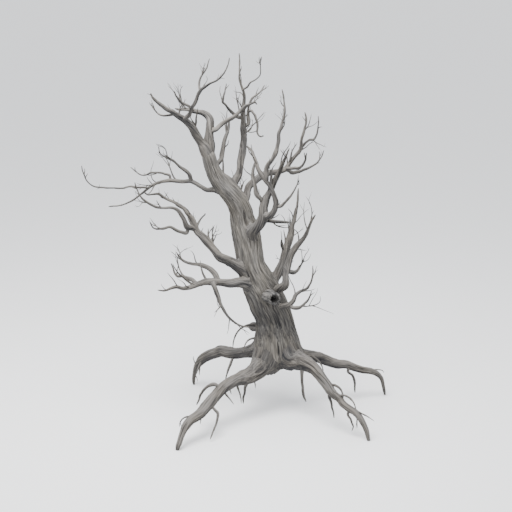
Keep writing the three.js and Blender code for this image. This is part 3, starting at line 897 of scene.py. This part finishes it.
# %% Grow the crown's twigs
def twigs_of(names, size, seed):
    """Three generations of twigs of one size on the named limbs. A twig is about half as thick as its limb is
    there, within limits, and a thin limb's twigs are shorter."""
    rng = np.random.default_rng(seed)
    found = [sprout(name, size["spacing"], size["first"], rng, TWIG_ANGLES, TWIG_LEAN) for name in names]
    starts, headings, limb_radii = (np.concatenate(part) for part in zip(*found))
    lengths = size["length"] * rng.uniform(0.5, 1.0, len(starts)) * np.clip(limb_radii / 0.025, 0.3, 1.1)
    radii = 0.6 * limb_radii * rng.uniform(0.7, 1.1, len(starts))
    radii = np.clip(radii, THINNEST_TWIG, size["thickest"])
    generations = []
    for steps, chance in zip(TWIG_STEPS, (*size["forks"], 0.0)):
        paths = wander(starts, headings, lengths, steps, rng, TWIG_CROOK, TWIG_PULL)
        keep = inside_box(paths)
        paths, radii, lengths = paths[keep], radii[keep], lengths[keep]
        generations.append((paths, radii, lengths, TWIG_TAPER))
        starts, headings, lengths, radii = fork(paths, radii, lengths, chance, rng, FORK_ANGLES)
        long_enough = lengths > SHORTEST_FORK
        starts, headings = starts[long_enough], headings[long_enough]
        lengths, radii = lengths[long_enough], radii[long_enough]
    return generations


bare_boughs = [name for name in LIMBS if name != "trunk" and name not in ROOT_NAMES]
CROWN_PARTS = {"low": ("low_", "left"), "top": ("top", "inner", "upper"),
               "right": ("right", "back", "tall", "cross", "rear")}
for number, (part, starts_with) in enumerate(CROWN_PARTS.items()):
    names = [name for name in bare_boughs if name.startswith(starts_with)]
    grown = twigs_of(names, BRANCHLETS, SEED + 40 + number) + twigs_of(names, TWIGS, SEED + 50 + number)
    twigs = join_tubes(f"twigs_{part}", grown, TWIG_SIDES, SEED + 60 + number)
    wood_pieces.append((twigs, "twig"))
    print("twigs", part, [len(paths) for paths, *_ in grown], "faces", len(twigs.data.polygons))


# %% [markdown]
# ## Fine rootlets
# The same rule, turned over. Most rootlets leave the underside of a root and hang. Some leave its upper side,
# arch over and turn down, as a root does that once ran along just under the soil. Two more arch away from the
# trunk beside the dark knob. None reaches the ground.

# %% Rootlets by the branching rule
HANGING = {"spacing": 0.8, "lean": -1.2 * UP, "pull": -0.1 * UP, "length": (0.2, 0.55)}
ARCHING = {"spacing": 1.1, "lean": 1.0 * UP, "pull": -0.34 * UP, "length": (0.4, 0.75)}
FIRST_ROOTLET = 0.22                                       # share of the root's length
ROOTLET_ANGLES, ROOTLET_FORKS = (0.9, 1.4), (0.4, 0.9)     # radians
ROOTLET_CROOK = 0.1
ROOTLET_STEPS = (8, 5)                                     # for each generation
ROOTLET_RADII = (0.008, 0.03)                              # metres, thinnest and thickest
SHORTEST_ROOTLET = 0.06                                    # metres
LOWEST = 0.012                                             # metres above the ground


def rootlets_of(names, kind, seed):
    """Two generations of rootlets, no longer than the way down to the ground allows."""
    rng = np.random.default_rng(seed)
    found = [sprout(name, kind["spacing"], FIRST_ROOTLET, rng, ROOTLET_ANGLES, kind["lean"])
             for name in names]
    starts, headings, limb_radii = (np.concatenate(part) for part in zip(*found))
    lengths = np.minimum(rng.uniform(*kind["length"], len(starts)), 0.9 * starts[:, 2])
    radii = np.clip(0.3 * limb_radii, *ROOTLET_RADII) * rng.uniform(0.8, 1.1, len(starts))
    generations = []
    for steps, chance in zip(ROOTLET_STEPS, (0.05, 0.0)):
        paths = wander(starts, headings, lengths, steps, rng, ROOTLET_CROOK, kind["pull"])
        above_ground = (paths[:, :, 2] > LOWEST).all(axis=1)
        keep = above_ground & (lengths > SHORTEST_ROOTLET) & inside_box(paths)
        paths, radii, lengths = paths[keep], radii[keep], lengths[keep]
        generations.append((paths, radii, lengths, TWIG_TAPER))
        starts, headings, lengths, radii = fork(paths, radii, lengths, chance, rng, ROOTLET_FORKS)
    return generations


main = rootlets_of(MAIN_ROOTS, HANGING, SEED + 21) + rootlets_of(MAIN_ROOTS, ARCHING, SEED + 23)
print("rootlets in each generation:", [len(paths) for paths, *_ in main])

# %% Two arches beside the knob
def arch(start, reach, depth, rise, drop, steps=8):
    """A path to the left: it goes out by the reach as sin(t pi / 2), rises by the rise as sin(t pi), and
    falls by the drop as t squared. The depth is how far it comes forward on the way."""
    t = np.linspace(0, 1, steps + 1)
    out = np.sin(t * math.pi / 2)
    return start + np.column_stack([-reach * out, -depth * out, rise * np.sin(t * math.pi) - drop * t**2])


# The starts are the middles of two of the trunk's rings, moved out into the wood near the knob.
beside_knob = rings["trunk"][0][3] + [-0.3, 0.25, 0.0]
below_knob = rings["trunk"][0][2] + [-0.3, 0.1, 0.0]
arches = np.array([arch(beside_knob, 0.6, 0.1, 0.1, 0.48), arch(below_knob, 0.4, 0.1, 0.1, 0.24)])
arch_radii = np.array([0.03, 0.026])
arch_lengths = np.array([length_of(path) for path in arches])
ARCH_TAPER, ROOTLET_SIDES = 0.5, 8
generations = [(arches, arch_radii, arch_lengths, ARCH_TAPER), *main]
rootlets = join_tubes("fine_rootlets", generations, ROOTLET_SIDES, SEED + 22)
wood_pieces.append((rootlets, "root"))
print("rootlets:", len(rootlets.data.polygons), "faces")

# %% [markdown]
# ## The weathered finish
# Sun and rain turn bare wood grey. Ridges bleach to silver, cracks hold dirt and shade, and streaks of darker
# and warmer wood run along the grain. A wood texture from a picture would repeat and show its seams. Instead
# one node group works the streaks out from the piece's own coordinates, and each material gives it its own
# three colours.

# %% Helpers for shader nodes
def wire(tree, value, socket):
    """Link an output to a socket, or set the socket to a plain number or colour."""
    if isinstance(value, (int, float, tuple)):
        socket.default_value = value
    else:
        tree.links.new(value, socket)


def attribute(tree, name):
    """The node that reads one of the piece's own layers."""
    node = tree.nodes.new("ShaderNodeAttribute")
    node.attribute_name = name
    return node


def calculated(tree, operation, a, b, clamp=False):
    """The sum, difference or product of two values, held between 0 and 1 if it is clamped."""
    node = tree.nodes.new("ShaderNodeMath")
    node.operation, node.use_clamp = operation, clamp
    wire(tree, a, node.inputs[0])
    wire(tree, b, node.inputs[1])
    return node.outputs[0]


def mixed(tree, factor, a, b, kind="MIX"):
    """The colour a * (1 - factor) + b * factor, or with MULTIPLY and a factor of 1, a * b."""
    node = tree.nodes.new("ShaderNodeMix")
    node.data_type, node.blend_type = "RGBA", kind
    for index, value in ((0, factor), (6, a), (7, b)):
        wire(tree, value, node.inputs[index])
    return node.outputs[2]


def grain_noise(tree, scale, detail, squeeze):
    """Noise on the grain's coordinates, squeezed along the grain, which draws its spots out to streaks."""
    mapping = tree.nodes.new("ShaderNodeMapping")
    mapping.inputs["Scale"].default_value = (1.0, 1.0, squeeze)
    tree.links.new(attribute(tree, "grain").outputs["Vector"], mapping.inputs["Vector"])
    noise = tree.nodes.new("ShaderNodeTexNoise")
    noise.inputs["Scale"].default_value = scale
    noise.inputs["Detail"].default_value = detail
    tree.links.new(mapping.outputs["Vector"], noise.inputs["Vector"])
    return noise.outputs["Fac"]


# %% A node group for weathered grain
# Scale, detail and squeeze of each noise. A small squeeze makes long streaks.
FINE_STREAKS, BROAD_STREAKS = (60.0, 4.0, 0.06), (27.0, 5.0, 0.08)
PATCHES, TINT_PATCHES = (2.2, 3.0, 0.6), (4.5, 3.0, 0.35)
FINE_SHARE, BROAD_SHARE = 0.55, 0.45     # of the streaks in the colour
CONTRAST = 2.4                           # of the streaks
RELIEF_SHARE, BLEACH_AND_PAINTED_SHADE_SHARE = 0.3, 0.35  # how far the relief and the mask of bleaching and painted light and shade can shift the level
ROUGHEST, SMOOTHING_BY_SUN = 0.97, 0.14
COOL, WARM = (0.97, 0.99, 1.02, 1.0), (1.04, 1.01, 0.95, 1.0)   # faint tints


def grain_level(group, entry, fine, broad):
    """How light the wood is, about 0 to 1: one half, plus the streaks about their mean, the relief mask,
    the mask of bleaching and painted light and shade times its strength, and broad patches."""
    relief = attribute(group, "relief").outputs["Fac"]
    bleach_and_painted_shade = attribute(group, "bleach_and_painted_shade").outputs["Fac"]
    patches = grain_noise(group, *PATCHES)
    streak = calculated(group, "ADD", calculated(group, "MULTIPLY", fine, FINE_SHARE),
                        calculated(group, "MULTIPLY", broad, BROAD_SHARE))
    spread = calculated(group, "MULTIPLY", calculated(group, "SUBTRACT", streak, 0.5),
                        entry.outputs["Streaks"])
    # Bleaching and painted light and shade: the mask times the strength of the third input.
    bleach_and_painted_shade_strength = calculated(group, "MULTIPLY", bleach_and_painted_shade, entry.outputs["Bleach and painted shade"])
    blotch = calculated(group, "MULTIPLY", calculated(group, "SUBTRACT", patches, 0.5),
                        entry.outputs["Patches"])
    level = calculated(group, "ADD", calculated(group, "MULTIPLY", spread, CONTRAST), 0.5)
    level = calculated(group, "ADD", level, calculated(group, "MULTIPLY", relief, RELIEF_SHARE))
    level = calculated(group, "ADD", level, calculated(group, "MULTIPLY", bleach_and_painted_shade_strength, BLEACH_AND_PAINTED_SHADE_SHARE))
    return calculated(group, "ADD", level, blotch)


def weathered_grain_group():
    """Colour, roughness and height. The colour goes from dark through middle to light as the level goes from
    0 through 0.5 to 1, and lighter wood is a little smoother."""
    group = bpy.data.node_groups.new("weathered grain", "ShaderNodeTree")
    face = group.interface
    for label in ("Dark", "Middle", "Light"):
        face.new_socket(label, in_out="INPUT", socket_type="NodeSocketColor")
    # The third float input scales the mask of bleaching and painted light and shade.
    for label, value in (("Streaks", 1.0), ("Patches", 1.0), ("Bleach and painted shade", 0.5)):
        face.new_socket(label, in_out="INPUT", socket_type="NodeSocketFloat").default_value = value
    for label, kind in (("Color", "Color"), ("Roughness", "Float"), ("Height", "Float")):
        face.new_socket(label, in_out="OUTPUT", socket_type="NodeSocket" + kind)
    entry = group.nodes.new("NodeGroupInput")
    leave = group.nodes.new("NodeGroupOutput")
    fine = grain_noise(group, *FINE_STREAKS)
    broad = grain_noise(group, *BROAD_STREAKS)
    level = grain_level(group, entry, fine, broad)
    twice = calculated(group, "MULTIPLY", level, 2.0)
    lower = calculated(group, "MULTIPLY", level, 2.0, clamp=True)
    upper = calculated(group, "SUBTRACT", twice, 1.0, clamp=True)
    colour = mixed(group, lower, entry.outputs["Dark"], entry.outputs["Middle"])
    colour = mixed(group, upper, colour, entry.outputs["Light"])
    warmth = calculated(group, "SUBTRACT", grain_noise(group, *TINT_PATCHES), 0.35)
    warmth = calculated(group, "MULTIPLY", warmth, 3.0, clamp=True)
    colour = mixed(group, 1.0, colour, mixed(group, warmth, COOL, WARM), "MULTIPLY")
    smoother = calculated(group, "MULTIPLY", level, SMOOTHING_BY_SUN, clamp=True)
    height = calculated(group, "ADD", calculated(group, "MULTIPLY", fine, 0.6),
                        calculated(group, "MULTIPLY", broad, 0.8))
    wire(group, colour, leave.inputs["Color"])
    wire(group, calculated(group, "SUBTRACT", ROUGHEST, smoother), leave.inputs["Roughness"])
    wire(group, height, leave.inputs["Height"])
    return group


GRAIN_GROUP = weathered_grain_group()
print("group nodes:", len(GRAIN_GROUP.nodes))

# %% One material for each kind of wood
DRY_SHINE = 0.25     # bare dry wood hardly shines
BUMP_STRENGTH = 0.7


def wood_material(name, dark, middle, light, streaks, patches, bleach_and_painted_shade_strength, bump):
    """A Principled shader whose colour, roughness and bump come from the grain group. The bump is the depth
    in metres that the full range of the grain's height stands for."""
    material = bpy.data.materials.new(name)
    material.use_nodes = True
    nodes, link = material.node_tree.nodes, material.node_tree.links.new
    shader = nodes["Principled BSDF"]
    shader.inputs["Specular IOR Level"].default_value = DRY_SHINE
    grain = nodes.new("ShaderNodeGroup")
    grain.node_tree = GRAIN_GROUP
    for label, colour in (("Dark", dark), ("Middle", middle), ("Light", light)):
        grain.inputs[label].default_value = (*colour, 1.0)
    for label, value in (("Streaks", streaks), ("Patches", patches), ("Bleach and painted shade", bleach_and_painted_shade_strength)):
        grain.inputs[label].default_value = value
    ridges = nodes.new("ShaderNodeBump")
    ridges.inputs["Distance"].default_value = bump
    ridges.inputs["Strength"].default_value = BUMP_STRENGTH
    link(grain.outputs["Height"], ridges.inputs["Height"])
    link(grain.outputs["Color"], shader.inputs["Base Color"])
    link(grain.outputs["Roughness"], shader.inputs["Roughness"])
    link(ridges.outputs["Normal"], shader.inputs["Normal"])
    return material


# Dark, middle and light colours, then streaks, patches, strength of the bleaching and painted shade, and
# bump.
MATERIALS = {
    "trunk": wood_material("weathered trunk wood", (0.023, 0.022, 0.022), (0.088, 0.082, 0.074),
                           (0.2, 0.186, 0.168), 0.95, 0.5, 0.85, 0.006),
    "bough": wood_material("weathered bough wood", (0.019, 0.019, 0.021), (0.068, 0.063, 0.058),
                           (0.16, 0.148, 0.135), 1.05, 0.65, 1.1, 0.005),
    "root": wood_material("washed root wood", (0.02, 0.02, 0.022), (0.068, 0.063, 0.058),
                          (0.16, 0.148, 0.136), 1.05, 0.5, 1.1, 0.005),
    # The stubs' darker colours are partly rotted wood and partly painted shade, for the hollow and the knob,
    # which sit in shade.
    "stub": wood_material("rotted stub wood and painted shade", (0.01, 0.0098, 0.01), (0.055, 0.053, 0.052),
                          (0.17, 0.16, 0.15), 1.0, 0.5, 0.7, 0.006),
    "twig": wood_material("weathered twig wood", (0.025, 0.023, 0.022), (0.068, 0.063, 0.058),
                          (0.135, 0.126, 0.116), 0.7, 0.4, 0.8, 0.002),
}
print("materials:", list(MATERIALS))

# %% Finish every piece
for piece, kind in wood_pieces:
    piece.data.materials.append(MATERIALS[kind])
    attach(piece, "root")
print(len(wood_pieces), "pieces finished")

# %% [markdown]
# ## Floor, light and camera
# A plain pale floor, one broad lamp overhead and a bright even surround show the relief without harsh shade.
# The camera stands well back with a long lens and looks down a little, so that the whole tree shows without
# much perspective. A close camera would swell the near roots and shrink the crown.

# %% The floor
centre = (box_low + box_high) / 2
FLOOR_SIZE, FLOOR_DROP = 3000, 0.004    # metres: no edge shows, and the feet don't flicker against it
bpy.ops.mesh.primitive_plane_add(size=FLOOR_SIZE, location=(centre[0], centre[1], -FLOOR_DROP))
floor = bpy.context.object
floor.name = "floor"
pale = bpy.data.materials.new("pale floor")
pale.use_nodes = True
pale_shader = pale.node_tree.nodes["Principled BSDF"]
pale_shader.inputs["Base Color"].default_value = (0.9, 0.9, 0.9, 1)
pale_shader.inputs["Roughness"].default_value = 0.9
floor.data.materials.append(pale)
print("floor under", centre.round(2))

# %% The lights
world = bpy.data.worlds.new("bright surround")
bpy.context.scene.world = world
world.use_nodes = True
background = world.node_tree.nodes["Background"]
background.inputs["Color"].default_value = (0.95, 0.97, 1.0, 1)
background.inputs["Strength"].default_value = 1.5


def lamp(name, place, size, power):
    """A square area light that faces the middle of the tree. Its tilt and turn come from the direction to
    the middle, by two arc tangents."""
    data = bpy.data.lights.new(name, "AREA")
    data.size, data.energy = size, power
    light = bpy.data.objects.new(name, data)
    light.location = place
    aim = np.array(centre) - np.array(place)
    light.rotation_euler = (math.atan2(math.hypot(aim[0], aim[1]), -aim[2]), 0,
                            math.atan2(aim[1], aim[0]) - math.pi / 2)
    bpy.context.scene.collection.objects.link(light)


LAMP_HEIGHT, LAMP_SIZE, LAMP_POWER = 15.0, 9.0, 4200    # metres, metres, watts
lamp("sky_lamp", (centre[0] - 2.0, centre[1] - 3.5, LAMP_HEIGHT), LAMP_SIZE, LAMP_POWER)
print("lights:", len(bpy.data.lights))

# %% The camera
LENS, SENSOR = 85.0, 36.0          # millimetres
VIEW_HEIGHT = math.radians(15)     # above the level
VIEW_DISTANCE = 24.2               # metres
AIM_OFFSET = np.array([0.32, 0.09, -0.4])    # from the middle of the box to the middle of the view
aim = centre + AIM_OFFSET
camera_data = bpy.data.cameras.new("camera")
camera_data.lens, camera_data.sensor_width = LENS, SENSOR
camera = bpy.data.objects.new("camera", camera_data)
camera.location = aim + VIEW_DISTANCE * np.array([0, -math.cos(VIEW_HEIGHT), math.sin(VIEW_HEIGHT)])
camera.rotation_euler = (math.pi / 2 - VIEW_HEIGHT, 0, 0)
bpy.context.scene.collection.objects.link(camera)
bpy.context.scene.camera = camera
print("camera at", np.array(camera.location).round(2))

# %% Measure and finish
print("solids:", cad_box)
